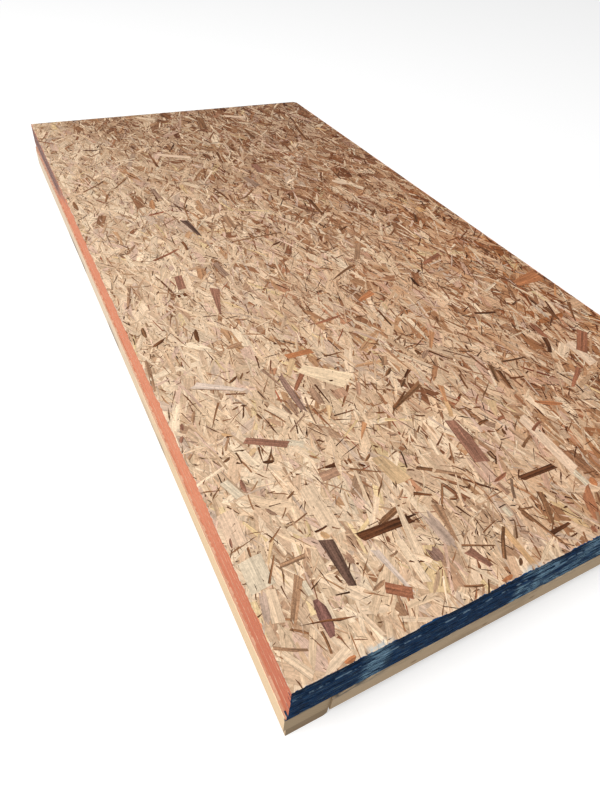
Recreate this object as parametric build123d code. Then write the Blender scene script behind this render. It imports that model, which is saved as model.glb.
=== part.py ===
from build123d import *

import os

# A stack of oriented strand board sheets on a base of sawn timber, in millimetres.
# X is the stack's width, Y its length with the near end at -Y, and Z is up.
# The origin is the middle of the stack's footprint, on the floor.

# The sheets, sold as 8 by 4 feet, and how far their sawn arrises are broken
SHEET_WIDTH = 1220.0
SHEET_LENGTH = 2440.0
SHEET_THICKNESS = 15.0
SHEET_COUNT = 7
SHEET_ARRIS = 0.6

# Sheets that were stacked by a machine are never quite in line. Each one slips by a share of
# these lengths, to the right and towards the far end, from the top sheet down.
SLIP_ACROSS = 4.0
SLIP_ALONG = 3.0
SLIP_SHARES = [
    (0.0, 0.0),
    (-0.15, -0.35),
    (-0.3, -1.0),
    (-0.2, -0.5),
    (-0.35, -0.75),
    (-0.25, -0.6),
    (-1.0, -0.85),
]

# The top sheet has lost its far right corner. The break's points go from the one edge to the other.
CORNER_BREAK = 14.0
CORNER_BREAK_SHARES = [(-1.0, 0.0), (-0.6, -0.3), (-0.25, -0.5), (0.0, -1.1)]

# The base frame: rails along the stack, and a cross timber between the side rails at each end.
# Its outer faces stand out from under the sheets by these overhangs.
RAIL_WIDTH = 85.0
RAIL_HEIGHT = 58.0
CROSS_WIDTH = 85.0
SIDE_OVERHANG = 5.0
END_OVERHANG = 4.5
TIMBER_ARRIS = 2.0

# The near cross timber's upper left end has split off, down to a slope.
SPLIT_RUN = 26.0
SPLIT_DROP = 10.0

# The runners that the frame stands on. Their inner lower arris is round, where the bark was.
RUNNER_WIDTH = 80.0
RUNNER_HEIGHT = 32.0
RUNNER_SETBACK = 5.0
RUNNER_WANE = 11.0
CENTRE_RUNNER_SETBACK = 40.0

# Heights above the floor
FRAME_BOTTOM = RUNNER_HEIGHT
FRAME_TOP = FRAME_BOTTOM + RAIL_HEIGHT

# Half sizes that the pieces are placed by
HALF_WIDTH = SHEET_WIDTH / 2
HALF_LENGTH = SHEET_LENGTH / 2
BASE_HALF_WIDTH = HALF_WIDTH + SIDE_OVERHANG
BASE_HALF_LENGTH = HALF_LENGTH + END_OVERHANG

# Cubic millimetres in a litre, for the printed list
LITRE = 1e6


def sheet(broken_corner=False):
    """One board with its underside at height zero. The break, if any, is at its far right corner."""
    outline = Rectangle(SHEET_WIDTH, SHEET_LENGTH)
    if broken_corner:
        tear = [
            (HALF_WIDTH + CORNER_BREAK * across, HALF_LENGTH + CORNER_BREAK * along)
            for across, along in CORNER_BREAK_SHARES
        ]
        outline -= make_face(Polyline(*tear, (HALF_WIDTH, HALF_LENGTH), close=True))
    board = extrude(outline, SHEET_THICKNESS)
    faces = board.faces().sort_by(Axis.Z)
    return chamfer(faces[0].edges() + faces[-1].edges(), SHEET_ARRIS)


def section(width, height, wane=TIMBER_ARRIS):
    """A sawn timber's section with eased arrises. The lower right one has the wane's radius."""
    shape = Rectangle(width, height)
    waney_corner = (width / 2, -height / 2)
    corners = shape.vertices().sort_by_distance(waney_corner)
    shape = fillet(corners[1:], TIMBER_ARRIS)
    return fillet(shape.vertices().sort_by_distance(waney_corner)[0], wane)


def timber_along(length, outline):
    """A timber that runs along the stack, centred on the origin."""
    return extrude(Plane.XZ * outline, length / 2, both=True)


def timber_across(length, outline):
    """A timber that runs across the stack, centred on the origin."""
    return extrude(Plane.YZ * outline, length / 2, both=True)


def stacked_sheets():
    """The sheets, counted from the top one down, each slipped a little out of line."""
    sheets = {}
    for index in range(SHEET_COUNT):
        across, along = SLIP_SHARES[index % len(SLIP_SHARES)]
        height = FRAME_TOP + (SHEET_COUNT - 1 - index) * SHEET_THICKNESS
        place = Pos(SLIP_ACROSS * across, SLIP_ALONG * along, height)
        sheets[f"osb_panel_{index + 1}"] = place * sheet(broken_corner=index == 0)
    return sheets


def base_frame():
    """Rails under both sides and the middle, and a cross timber between the side rails at each end."""
    middle = FRAME_BOTTOM + RAIL_HEIGHT / 2
    rail_section = section(RAIL_WIDTH, RAIL_HEIGHT)
    side_rail = timber_along(SHEET_LENGTH, rail_section)
    centre_rail = timber_along(2 * (BASE_HALF_LENGTH - CROSS_WIDTH), rail_section)
    rail_x = BASE_HALF_WIDTH - RAIL_WIDTH / 2

    cross_length = 2 * (BASE_HALF_WIDTH - RAIL_WIDTH)
    cross_timber = timber_across(cross_length, section(CROSS_WIDTH, RAIL_HEIGHT))
    cross_y = BASE_HALF_LENGTH - CROSS_WIDTH / 2
    return {
        "left_rail": Pos(-rail_x, 0, middle) * side_rail,
        "centre_rail": Pos(0, 0, middle) * centre_rail,
        "right_rail": Pos(rail_x, 0, middle) * side_rail,
        "near_cross_timber": Pos(0, -cross_y, middle) * (cross_timber - split(cross_length)),
        "far_cross_timber": Pos(0, cross_y, middle) * cross_timber,
    }


def split(cross_length):
    """The wedge that is missing from a cross timber's upper left end."""
    end = -cross_length / 2
    top = RAIL_HEIGHT / 2
    wedge = Polyline((end, top), (end, top - SPLIT_DROP), (end + SPLIT_RUN, top), close=True)
    return extrude(Plane.XZ * make_face(wedge), CROSS_WIDTH / 2, both=True)


def runners():
    """Three runners that carry the frame, the side ones turned with their wane inwards."""
    middle = RUNNER_HEIGHT / 2
    outline = section(RUNNER_WIDTH, RUNNER_HEIGHT, wane=RUNNER_WANE)
    side_runner = timber_along(SHEET_LENGTH, outline)
    centre_runner = timber_along(SHEET_LENGTH - 2 * CENTRE_RUNNER_SETBACK, outline)
    runner_x = BASE_HALF_WIDTH - RUNNER_SETBACK - RUNNER_WIDTH / 2
    return {
        "left_runner": Pos(-runner_x, 0, middle) * side_runner,
        "centre_runner": Pos(0, 0, middle) * centre_runner,
        "right_runner": Pos(runner_x, 0, middle) * mirror(side_runner, Plane.YZ),
    }


def build():
    """Every piece by its name, each one solid, with the stack's footprint centred on the origin."""
    pieces = stacked_sheets() | base_frame() | runners()
    solids = {name: piece.solid() for name, piece in pieces.items()}
    box = Compound(list(solids.values())).bounding_box()
    to_origin = Pos(-box.center().X, -box.center().Y, -box.min.Z)
    return {name: to_origin * solid for name, solid in solids.items()}


os.makedirs("parts", exist_ok=True)
for name, piece in build().items():
    export_step(piece, f"parts/{name}.step")
    size = piece.bounding_box().size
    print(f"{name}: {size.X:.1f} x {size.Y:.1f} x {size.Z:.1f} mm, {piece.volume / LITRE:.2f} litres")
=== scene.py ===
# %% [markdown]
# A stack of strand board sheets
#
# Seven sheets of oriented strand board lie on a low base of sawn timber. The CAD model holds their
# real sizes. This notebook gives them their looks: thousands of pressed strands, sprayed edges and
# sawn wood. The first cell loads the CAD model, which nothing below ever moves.

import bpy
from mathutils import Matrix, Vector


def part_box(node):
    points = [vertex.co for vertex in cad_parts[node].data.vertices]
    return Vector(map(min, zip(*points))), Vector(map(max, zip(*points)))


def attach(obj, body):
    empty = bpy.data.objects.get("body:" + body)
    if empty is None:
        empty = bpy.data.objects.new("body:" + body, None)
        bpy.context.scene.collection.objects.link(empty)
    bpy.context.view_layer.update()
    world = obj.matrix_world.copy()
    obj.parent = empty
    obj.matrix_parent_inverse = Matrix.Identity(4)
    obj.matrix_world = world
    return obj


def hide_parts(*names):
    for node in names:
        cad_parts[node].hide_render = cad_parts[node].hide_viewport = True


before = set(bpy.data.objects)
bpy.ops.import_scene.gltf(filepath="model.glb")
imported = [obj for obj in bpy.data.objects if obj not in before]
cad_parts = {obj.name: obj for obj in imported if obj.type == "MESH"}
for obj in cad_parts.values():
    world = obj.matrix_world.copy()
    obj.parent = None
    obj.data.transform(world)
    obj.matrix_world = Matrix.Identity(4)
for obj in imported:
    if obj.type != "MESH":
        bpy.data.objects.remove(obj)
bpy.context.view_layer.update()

# %% Import what the lesson uses
import math

import bmesh
import bpy
import numpy as np
from mathutils import Matrix, Vector, noise

MM = 0.001
SHEETS = sorted(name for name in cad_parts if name.startswith("osb_panel_"))
TOP_SHEET, BOTTOM_SHEET = SHEETS[0], SHEETS[-1]
top_low, top_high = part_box(TOP_SHEET)
near_y = top_low.y
left_x = top_low.x


def put(name, data):
    """Puts a new object with the given mesh, camera or lamp into the scene."""
    made = bpy.data.objects.new(name, data)
    bpy.context.scene.collection.objects.link(made)
    return made


print(len(SHEETS), "sheets, the top one ends at", round(top_high.z / MM, 1), "mm")

# %% [markdown]
# The camera comes first, because it decides which detail is worth making. The photograph was taken
# from above the near left corner, with a wide lens and a slight turn of the wrist. A camera has
# three axes of its own: right, up and backwards. Written as the columns of a matrix they give its
# rotation, and one more turn about its own Z axis gives the roll.

# %% Place the camera
CAMERA_AZIMUTH = math.radians(30.467)
CAMERA_DOWN = math.radians(43.638)
CAMERA_ROLL = math.radians(5.333)
CAMERA_FROM_CORNER = Vector((-0.1753, -0.2447, 0.8691))
CAMERA_LENS = 25.55
FAR_CLIP = 300

forward = Vector((
    math.sin(CAMERA_AZIMUTH) * math.cos(CAMERA_DOWN),
    math.cos(CAMERA_AZIMUTH) * math.cos(CAMERA_DOWN),
    -math.sin(CAMERA_DOWN),
))
right = Vector((math.cos(CAMERA_AZIMUTH), -math.sin(CAMERA_AZIMUTH), 0))
turn = Matrix((right, right.cross(forward), -forward)).transposed().to_4x4()
near_left_corner = Vector((left_x, near_y, top_high.z))

camera = put("camera", bpy.data.cameras.new("camera"))
camera.matrix_world = (
    Matrix.Translation(near_left_corner + CAMERA_FROM_CORNER) @ turn @ Matrix.Rotation(CAMERA_ROLL, 4, "Z")
)
camera.data.lens = CAMERA_LENS
camera.data.clip_end = FAR_CLIP
bpy.context.scene.camera = camera
print("camera at", [round(v, 3) for v in camera.location])

# %% [markdown]
# Materials are built from nodes. A few short helpers keep that readable. One turns a colour as
# seen on a screen into the linear numbers that Blender mixes. A value stands for what a node puts
# out, so that nodes can be added and multiplied like numbers. A recipe is a material in the making:
# it knows the surface's place, and it takes one coat of colour after another.

# %% Helpers for colours and nodes
def screen(red, green, blue):
    """A colour given in screen values from 0 to 255, as linear red, green, blue and alpha."""
    def linear(value):
        share = value / 255
        return share / 12.92 if share <= 0.04045 else ((share + 0.055) / 1.055) ** 2.4
    return (linear(red), linear(green), linear(blue), 1.0)


class Value:
    """What a node of a recipe puts out."""

    def __init__(self, recipe, socket):
        self.recipe = recipe
        self.socket = socket

    def math(self, operation, other=0.0):
        return self.recipe.add("Math", {0: self, 1: other}, operation=operation)

    def __add__(self, other):
        return self.math("ADD", other)

    def __sub__(self, other):
        return self.math("SUBTRACT", other)

    def __rsub__(self, other):
        return self.recipe.add("Math", {0: other, 1: self}, operation="SUBTRACT")

    def __mul__(self, other):
        return self.math("MULTIPLY", other)

    def __truediv__(self, other):
        return self.math("DIVIDE", other)

    def __abs__(self):
        return self.math("ABSOLUTE")

    def between(self, low, high, to_low=0.0, to_high=1.0):
        """A smooth step: to_low up to low, to_high from high on."""
        sockets = {"Value": self, "From Min": low, "From Max": high, "To Min": to_low, "To Max": to_high}
        return self.recipe.add("MapRange", sockets, interpolation_type="SMOOTHSTEP")

    def within(self, low, high, soft):
        """One between two limits, zero outside them, with soft flanks."""
        return self.between(low - soft, low) * self.between(high + soft, high)


class Recipe:
    """A new material. Its place is in the object's own coordinates, in metres."""

    def __init__(self, name, colour, roughness=0.8, gloss=0.25):
        self.material = bpy.data.materials.new(name)
        self.material.use_nodes = True
        self.nodes = self.material.node_tree.nodes
        self.shader = self.nodes["Principled BSDF"]
        self.shader.inputs["Roughness"].default_value = roughness
        self.shader.inputs["Specular IOR Level"].default_value = gloss
        self.colour = colour
        self.place = self.add("TexCoord", output="Object")
        self.x, self.y, self.z = self.split(self.place)

    def feed(self, socket, value):
        """Links a value to a socket, or writes a plain number or colour into it."""
        if isinstance(value, Value):
            self.material.node_tree.links.new(value.socket, socket)
        else:
            socket.default_value = value

    def add(self, kind, inputs=(), output=0, **settings):
        """Adds a node and returns one of its outputs."""
        made = self.nodes.new("ShaderNode" + kind)
        for key, value in settings.items():
            setattr(made, key, value)
        for key, value in dict(inputs).items():
            self.feed(made.inputs[key], value)
        return Value(self, made.outputs[output])

    def split(self, vector):
        """The three parts of a vector."""
        made = self.nodes.new("ShaderNodeSeparateXYZ")
        self.feed(made.inputs[0], vector)
        return [Value(self, part) for part in made.outputs]

    def noise(self, scale=1.0, detail=3.0, roughness=0.55, vector=None):
        """Noise at the surface's place or another vector, scaled by one number or by three."""
        vector = vector or self.place
        if isinstance(scale, tuple):
            vector, scale = self.add("Mapping", {"Vector": vector, "Scale": scale}), 1.0
        sockets = {"Vector": vector, "Scale": scale, "Detail": detail, "Roughness": roughness}
        return self.add("TexNoise", sockets)

    def mix(self, share, first, second):
        """The first colour where the share is 0, the second where it is 1."""
        return self.add("Mix", {"Factor": share, 6: first, 7: second}, output=2, data_type="RGBA")

    def shade(self, colour, factor):
        """A colour made lighter or darker by a factor near 1."""
        return self.add("VectorMath", {0: colour, 1: factor}, operation="MULTIPLY")

    def coat(self, colour, share):
        """Lays a colour over the one so far, as thickly as the share says."""
        self.colour = self.mix(share, self.colour, colour)

    def finish(self, height=None, depth=0.0):
        """Sets the base colour and, where given, a bump of that depth in metres."""
        self.feed(self.shader.inputs["Base Color"], self.colour)
        if height is not None:
            bump = self.add("Bump", {"Height": height, "Distance": depth, "Strength": 1.0})
            self.feed(self.shader.inputs["Normal"], bump)
        return self.material


WHITE = (1.0, 1.0, 1.0, 1.0)
print("paper white is", [round(v, 3) for v in screen(245, 245, 245)])

# %% [markdown]
# The stage is a plain pale floor under soft light. The floor is a large disc. For the camera it
# glows a little, so that it reads as white without more light on the stack, and its shaded colour
# still carries the stack's shadow. One large lamp stands far off to the left. The near end of the
# stack turns away from it and stays in a light shade.

# %% Floor and light
FLOOR_RADIUS = 60
FLOOR_POINTS = 96
FLOOR_GLOW = 0.46
WORLD_STRENGTH = 0.52
LAMP_PLACE = Vector((-5.2, -1.1, 6.1))
LAMP_TARGET = Vector((-0.2, -0.2, 0.1))
LAMP_SIZE = 3.6
LAMP_POWER = 455

floor = put("floor", bpy.data.meshes.new("floor"))
disc = bmesh.new()
bmesh.ops.create_circle(disc, cap_ends=True, segments=FLOOR_POINTS, radius=FLOOR_RADIUS)
disc.to_mesh(floor.data)
disc.free()

paper = Recipe("white floor", screen(214, 214, 214), roughness=1.0, gloss=0.0)
paper.finish()
camera_ray = paper.add("LightPath", output="Is Camera Ray")
glow = paper.add("Emission", {"Strength": camera_ray * FLOOR_GLOW})
both = paper.add("AddShader", {0: Value(paper, paper.shader.outputs[0]), 1: glow})
paper.feed(paper.nodes["Material Output"].inputs["Surface"], both)
floor.data.materials.append(paper.material)

world = bpy.data.worlds.new("studio")
bpy.context.scene.world = world
world.use_nodes = True
world_nodes = world.node_tree.nodes
background = world_nodes["Background"]
path = world_nodes.new("ShaderNodeLightPath")
seen = world_nodes.new("ShaderNodeMapRange")
seen.inputs["To Min"].default_value = WORLD_STRENGTH
seen.inputs["To Max"].default_value = 1.0
world.node_tree.links.new(path.outputs["Is Camera Ray"], seen.inputs["Value"])
world.node_tree.links.new(seen.outputs[0], background.inputs["Strength"])
background.inputs["Color"].default_value = WHITE
bpy.context.scene.view_settings.view_transform = "Standard"

window = put("window", bpy.data.lights.new("window", "AREA"))
window.data.size = LAMP_SIZE
window.data.energy = LAMP_POWER
window.location = LAMP_PLACE
window.rotation_mode = "QUATERNION"
window.rotation_quaternion = (LAMP_TARGET - LAMP_PLACE).to_track_quat("-Z", "Y")
print("stage ready")

# %% [markdown]
# Each sheet is sawn from a pressed mat, and its edges are sprayed: blue on the short ends, orange
# on the long sides. The CAD sheet has the right size but glass-smooth edges. The visible sheet is
# built inside the same box from a ring of points, extruded upwards row by row, so that every row can
# be pushed in a little where a strand broke out of the edge. Noise gives those dents, drawn out
# along the edge because the strands lie flat. The paint comes first. It was sprayed on the whole
# stack at once, so a ledge where one sheet sticks out has caught some of it too.

# %% Paint for the sheets' edges
NAVY = screen(12, 58, 100)
DEEP_BLUE = screen(4, 22, 44)
WORN_AND_HIGHLIGHT_BLUE = screen(150, 190, 212)
MIST_BLUE = screen(186, 196, 196)
LEDGE_BLUE = screen(14, 40, 68)
PALE_LEDGE_BLUE = screen(150, 176, 194)
CORAL = screen(222, 140, 106)
DEEP_CORAL = screen(194, 108, 80)
PALE_CORAL = screen(236, 182, 148)
LEDGE_CORAL = screen(198, 140, 110)
LOW_CORAL = screen(216, 178, 148)
FADED_CORAL = screen(204, 172, 152)
STAIN = screen(112, 88, 88)
FROST = screen(236, 222, 204)
BARE_BOARD = screen(150, 114, 84)
PALE_BOARD = screen(214, 184, 148)


def worn_share(recipe):
    """Where the near end's blue is worn pale: one patch near the left corner and a long one."""
    across = recipe.x - left_x
    clouds = recipe.noise((14, 14, 34), detail=1.0).between(0.34, 0.62)
    near_patch = across.within(0.142, 0.166, 0.022)
    long_patch = across.between(0.445, 0.46) * clouds
    return near_patch.math("MAXIMUM", long_patch) * recipe.y.between(0.1, -0.1)


def above_joint(recipe):
    """How far a place is above the joint under its own sheet."""
    return (recipe.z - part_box(BOTTOM_SHEET)[0].z).math("MODULO", top_high.z - top_low.z)


def blue_paint():
    """Blue spray with streaks along the strands, worn pale in patches, and painted shade and highlight at
    the joints.
    """
    paint = Recipe("blue edge paint", NAVY, roughness=0.75, gloss=0.06)
    streaks = paint.noise((45, 45, 420), detail=4.0, roughness=0.65)
    rubbed = paint.noise((60, 60, 480), roughness=0.65)
    thin = paint.noise((38, 38, 900))
    dashes = paint.noise((30, 30, 300)).between(0.5, 0.62, 0.0, 0.4)
    above = above_joint(paint)
    paint.coat(DEEP_BLUE, streaks.between(0.58, 0.42))
    paint.coat(DEEP_BLUE, paint.z.between(top_high.z - 17 * MM, top_high.z - 14 * MM, 0.0, 0.6))
    paint.coat(WORN_AND_HIGHLIGHT_BLUE, worn_share(paint) * rubbed.between(0.44, 0.64, 0.05, 0.9))
    paint.coat(WORN_AND_HIGHLIGHT_BLUE, thin.between(0.60, 0.74, 0.0, 0.35))
    # Painted highlight: pale dashes just above each joint, where a ledge catches the light
    paint.coat(WORN_AND_HIGHLIGHT_BLUE, dashes * above.within(1.4 * MM, 2.2 * MM, 0.8 * MM))
    # Painted shadow: a dark line in each joint between the sheets
    paint.coat(DEEP_BLUE, above.between(1.1 * MM, 0.3 * MM, 0.0, 0.8))
    return paint.finish(streaks, 0.4 * MM)


def orange_paint():
    """Orange spray, deeper near the front, and stained dark towards the left side's far end."""
    paint = Recipe("orange edge paint", CORAL, roughness=0.72, gloss=0.15)
    z, along, above = paint.z, paint.y - near_y, above_joint(paint)
    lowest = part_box(BOTTOM_SHEET)[1].z
    streaks = paint.noise((22, 22, 520), detail=5.0, roughness=0.6)
    clouds = paint.noise((5, 5, 12), detail=2.0)
    paint.coat(DEEP_CORAL, along.between(0.0, 0.5, 0.95, 0.05))
    paint.coat(PALE_CORAL, streaks.between(0.54, 0.72, 0.0, 0.4))
    paint.coat(DEEP_CORAL, streaks.between(0.46, 0.32, 0.0, 0.5))
    paint.coat(LOW_CORAL, z.between(lowest + 2 * MM, lowest - 3 * MM) * along.between(0.0, 0.7, 0.5, 0.95))

    # The joints between the lower sheets show: a pale rim under each, painted highlight on the arris, and a
    # dark line in it, painted shadow in the gap
    low_down = z.between(lowest + 40 * MM, lowest + 26 * MM)
    paint.coat(LOW_CORAL, above.between(12.6 * MM, 13.8 * MM, 0.0, 0.75) * low_down)
    paint.coat(DEEP_CORAL, above.between(1.4 * MM, 0.4 * MM, 0.0, 0.7) * low_down)

    # The stain's end is frayed, and it reaches nearer along the rim than low down
    reach = along + clouds * 0.3 + streaks * 0.5 + (z - lowest) * 2.5
    far_left = reach.between(2.26, 2.46) * paint.x.between(0.1, -0.1)
    paint.coat(FADED_CORAL, far_left * 0.6)
    stained = far_left * z.between(lowest + 10 * MM, lowest + 34 * MM, 0.1, 0.92)
    paint.coat(STAIN, stained * z.between(top_high.z - 3 * MM, top_high.z - 14 * MM, 0.55, 1.0))
    return paint.finish(streaks, 0.4 * MM)


def raw_board():
    """Bare pressed wood, and the paint that fell on the ledges where a sheet sticks out."""
    bare = Recipe("raw board", BARE_BOARD, roughness=0.85)
    chips = bare.noise((90, 40, 300), detail=4.0)
    bare.coat(PALE_BOARD, chips.between(0.35, 0.65))
    dashes = bare.noise(62, detail=2.0).between(0.46, 0.58)
    third_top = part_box(SHEETS[2])[1].z
    bright = dashes * (bare.z.within(third_top, third_top, 3 * MM) * 0.45 + 0.08)
    below_top = bare.z.between(top_high.z - 2 * MM, top_high.z - 4 * MM)
    on_side = abs(bare.x).between(top_high.x - 9 * MM, top_high.x - 7 * MM)
    bare.coat(bare.mix(dashes, LEDGE_CORAL, LOW_CORAL), on_side * below_top)
    on_end = abs(bare.y).between(top_high.y - 9 * MM, top_high.y - 7 * MM)
    bare.coat(bare.mix(bright, LEDGE_BLUE, PALE_LEDGE_BLUE), on_end * below_top)
    return bare.finish(chips, 0.3 * MM)


RAW, BLUE, ORANGE = 0, 1, 2
board_finishes = [raw_board(), blue_paint(), orange_paint()]
print([finish.name for finish in board_finishes])

# %% Build the visible sheets
EDGE_PITCH = 5 * MM
ROW_HEIGHTS = (0.0, 0.7, 3.5, 7.0, 10.5, 14.3, 15.0)
DENT_LENGTH = 22 * MM
DENT_HEIGHT = 2.2 * MM
DENT_DEPTH = 0.8 * MM
LEAST_DENT = 0.25
CHIP_LENGTH = 7 * MM
CHIP_DEPTH = 1.1 * MM
TOP_SKIN = 1.0 * MM
CORNER_ACROSS = 14 * MM
CORNER_ALONG = 15.4 * MM


def edge_ring(bm, low, high):
    """A closed ring of short edges round a rectangle at the sheet's underside."""
    rim = bmesh.ops.create_grid(bm, x_segments=1, y_segments=1, size=0.5)["verts"]
    bmesh.ops.scale(bm, vec=(high.x - low.x, high.y - low.y, 1), verts=rim)
    bmesh.ops.translate(bm, vec=((low.x + high.x) / 2, (low.y + high.y) / 2, low.z), verts=rim)
    bmesh.ops.delete(bm, geom=bm.faces[:], context="FACES_ONLY")
    for edge in bm.edges[:]:
        cuts = round(edge.calc_length() / EDGE_PITCH) - 1
        bmesh.ops.subdivide_edges(bm, edges=[edge], cuts=cuts)
    return bm.edges[:]


def extrude_rows(bm, ring, heights):
    """Extrudes the ring upwards through the given heights and caps both ends."""
    bottom, base = ring, ring[0].verts[0].co.z
    for height in heights[1:]:
        new = bmesh.ops.extrude_edge_only(bm, edges=ring)["geom"]
        verts = [item for item in new if isinstance(item, bmesh.types.BMVert)]
        ring = [item for item in new if isinstance(item, bmesh.types.BMEdge)]
        for vert in verts:
            vert.co.z = base + height
    for rim in (bottom, ring):
        bmesh.ops.edgeloop_fill(bm, edges=rim)


def dent(vert, low, high, seed):
    """Pushes a point of the edge inwards, as far as the noise says and more at the two arrises."""
    place = vert.co
    flat = Vector((place.x, place.y, 0)) / DENT_LENGTH
    depth = noise.noise(flat + Vector((0, 0, place.z / DENT_HEIGHT + seed)))
    inwards = DENT_DEPTH * (LEAST_DENT + (1 - LEAST_DENT) * max(0.0, depth))
    if min(place.z - low.z, high.z - place.z) < MM:
        chip = noise.noise(place / CHIP_LENGTH + Vector((seed, 0, 0)))
        inwards += CHIP_DEPTH * max(0.0, chip)
    for axis in (0, 1):
        if place[axis] - low[axis] < MM:
            place[axis] += inwards
        if high[axis] - place[axis] < MM:
            place[axis] -= inwards


def cut_away(bm, point, outwards, finish):
    """Cuts off what lies beyond a plane, closes the cut and gives it a finish."""
    cut = bmesh.ops.bisect_plane(
        bm, geom=bm.verts[:] + bm.edges[:] + bm.faces[:], dist=1e-7,
        plane_co=point, plane_no=outwards, clear_outer=True,
    )
    rims = [item for item in cut["geom_cut"] if isinstance(item, bmesh.types.BMEdge)]
    closed = bmesh.ops.edgeloop_fill(bm, edges=rims)["faces"] if rims else []
    for face in closed:
        face.material_index = finish


def break_corner(bm, high):
    """Takes off the far right corner, which has broken away from the top sheet."""
    cut_away(bm, high - Vector((CORNER_ACROSS, 0, 0)), Vector((CORNER_ALONG, CORNER_ACROSS, 0)), RAW)


def new_piece(name, bm, materials):
    """Turns a bmesh into a linked piece of the stack and frees the bmesh."""
    mesh = bpy.data.meshes.new(name)
    bm.to_mesh(mesh)
    bm.free()
    for material in materials:
        mesh.materials.append(material)
    return put(name, mesh)


def sheet_body(node, seed):
    """The visible body of one sheet, with dented sides and a paint for each side."""
    low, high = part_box(node)
    low = low + Vector((0, 0, TOP_SKIN if node == BOTTOM_SHEET else 0.0))
    high = high - Vector((0, 0, TOP_SKIN if node == TOP_SHEET else 0.0))
    share = (high.z - low.z) / (ROW_HEIGHTS[-1] * MM)
    bm = bmesh.new()
    extrude_rows(bm, edge_ring(bm, low, high), [height * MM * share for height in ROW_HEIGHTS])
    for vert in bm.verts:
        dent(vert, low, high, seed)
    bmesh.ops.recalc_face_normals(bm, faces=bm.faces[:])
    for face in bm.faces:
        sideways = abs(face.normal.x) > abs(face.normal.y)
        face.material_index = RAW if len(face.verts) > 4 else ORANGE if sideways else BLUE
    if node == TOP_SHEET:
        break_corner(bm, high)
    return new_piece(node.replace("osb_panel", "sheet_body"), bm, board_finishes)


for number, node in enumerate(SHEETS):
    body = sheet_body(node, seed=7.3 * number)
    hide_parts(node)
    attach(body, "root")
    print(body.name, len(body.data.polygons), "faces")

# %% [markdown]
# The face of the board is made of strands: thin slices of wood some 60 to 150 mm long, cut, dried,
# strewn and pressed flat. Painting them with a texture would do from far away. Here each strand is a
# real, very thin solid, because then strands overlap, dip under each other and catch the light as
# the real ones do. A handful of shapes is modelled first: a grid one or two strips wide gets its
# outline from a short formula, and is extruded downwards into a closed slice.

# %% Model the strand shapes
RANDOM = np.random.default_rng(41)
UNIT_DEPTH = 1.0
AT_END = 0.99


def strand_shape(stations, lanes=1, wedge=0.0, taper=0.0, bend=0.0, lean=0.0, ragged=0.1, fork=0.0):
    """One strand of half length 1 and half width 1, as arrays of points and triangles.

    A wedge narrows towards one end and a taper towards both. A bend bows the strand, a lean slants
    its ends, a ragged outline wanders, and a fork tears the ends open.
    """
    bm = bmesh.new()
    bmesh.ops.create_grid(bm, x_segments=stations, y_segments=lanes, size=1.0)
    for vert in bm.verts:
        along, across = vert.co.x, vert.co.y
        width = (1 - wedge * (1 + along) / 2) * (1 - taper * abs(along) ** 3)
        vert.co.y = across * width * (1 + ragged * RANDOM.uniform(-1, 1)) + bend * (along ** 2 - 0.4)
        vert.co.x = along + lean * across * abs(along)
        if abs(along) > AT_END:
            vert.co.x += ragged * RANDOM.uniform(-0.5, 0.5) - fork * along * RANDOM.uniform(0, 1)
    sides = bmesh.ops.extrude_face_region(bm, geom=bm.faces[:])["geom"]
    lower = [item for item in sides if isinstance(item, bmesh.types.BMVert)]
    bmesh.ops.translate(bm, vec=(0, 0, -UNIT_DEPTH), verts=lower)
    bmesh.ops.recalc_face_normals(bm, faces=bm.faces[:])
    bmesh.ops.triangulate(bm, faces=bm.faces[:])
    bm.verts.index_update()
    points = np.array([vert.co[:] for vert in bm.verts])
    triangles = np.array([[vert.index for vert in face.verts] for face in bm.faces])
    bm.free()
    return points, triangles


SHAPES = {
    "sawn": [strand_shape(3, 2, lean=lean, ragged=0.06) for lean in (-0.3, -0.1, 0.0, 0.1, 0.3)],
    "wedge": [strand_shape(3, 2, wedge=wedge, lean=0.1, ragged=0.10) for wedge in (0.35, 0.6, 0.85)],
    "torn": [strand_shape(3, 2, taper=0.25, ragged=0.16, fork=fork) for fork in (0.15, 0.3, 0.45)],
    "frayed": [strand_shape(3, 5, wedge=0.15, taper=0.2, ragged=0.08, fork=fork)
               for fork in (0.2, 0.35, 0.5)],
    "plank": [strand_shape(3, 2, lean=lean, ragged=0.05) for lean in (-0.08, 0.07)],
    "blade": [strand_shape(3, 2, wedge=0.45, taper=0.06, lean=0.08, ragged=0.06)],
    "leaf": [strand_shape(4, taper=taper, bend=0.3, ragged=0.12) for taper in (0.6, 0.85)],
    "stick": [strand_shape(3, wedge=wedge, bend=bend, ragged=0.15)
              for wedge, bend in ((0.2, -0.6), (0.3, 0.5), (0.5, 0.0), (0.8, 0.3))],
    "splinter": [strand_shape(2, wedge=wedge, bend=bend, lean=0.4, ragged=0.25)
                 for wedge, bend in ((0.5, 0.5), (0.7, -0.4), (0.9, 0.0))],
    "speck": [strand_shape(1, wedge=wedge, lean=lean, ragged=0.4)
              for wedge, lean in ((0.2, 0.5), (0.5, -0.6), (0.7, 0.2), (0.9, 0.0))],
}
for name, shapes in SHAPES.items():
    print(name, "has", len(shapes), "shapes of about", len(shapes[0][1]), "triangles")

# %% [markdown]
# Fresh pine strands run from cream to tan, with a few yellow, pinkish and brown ones, and now and
# then a nearly black piece of bark. Each strand gets one colour from such a palette, written as an
# attribute on its points. It also carries its own map, in metres along and across the strand, so
# that the grain can follow it whatever way it lies.

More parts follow.
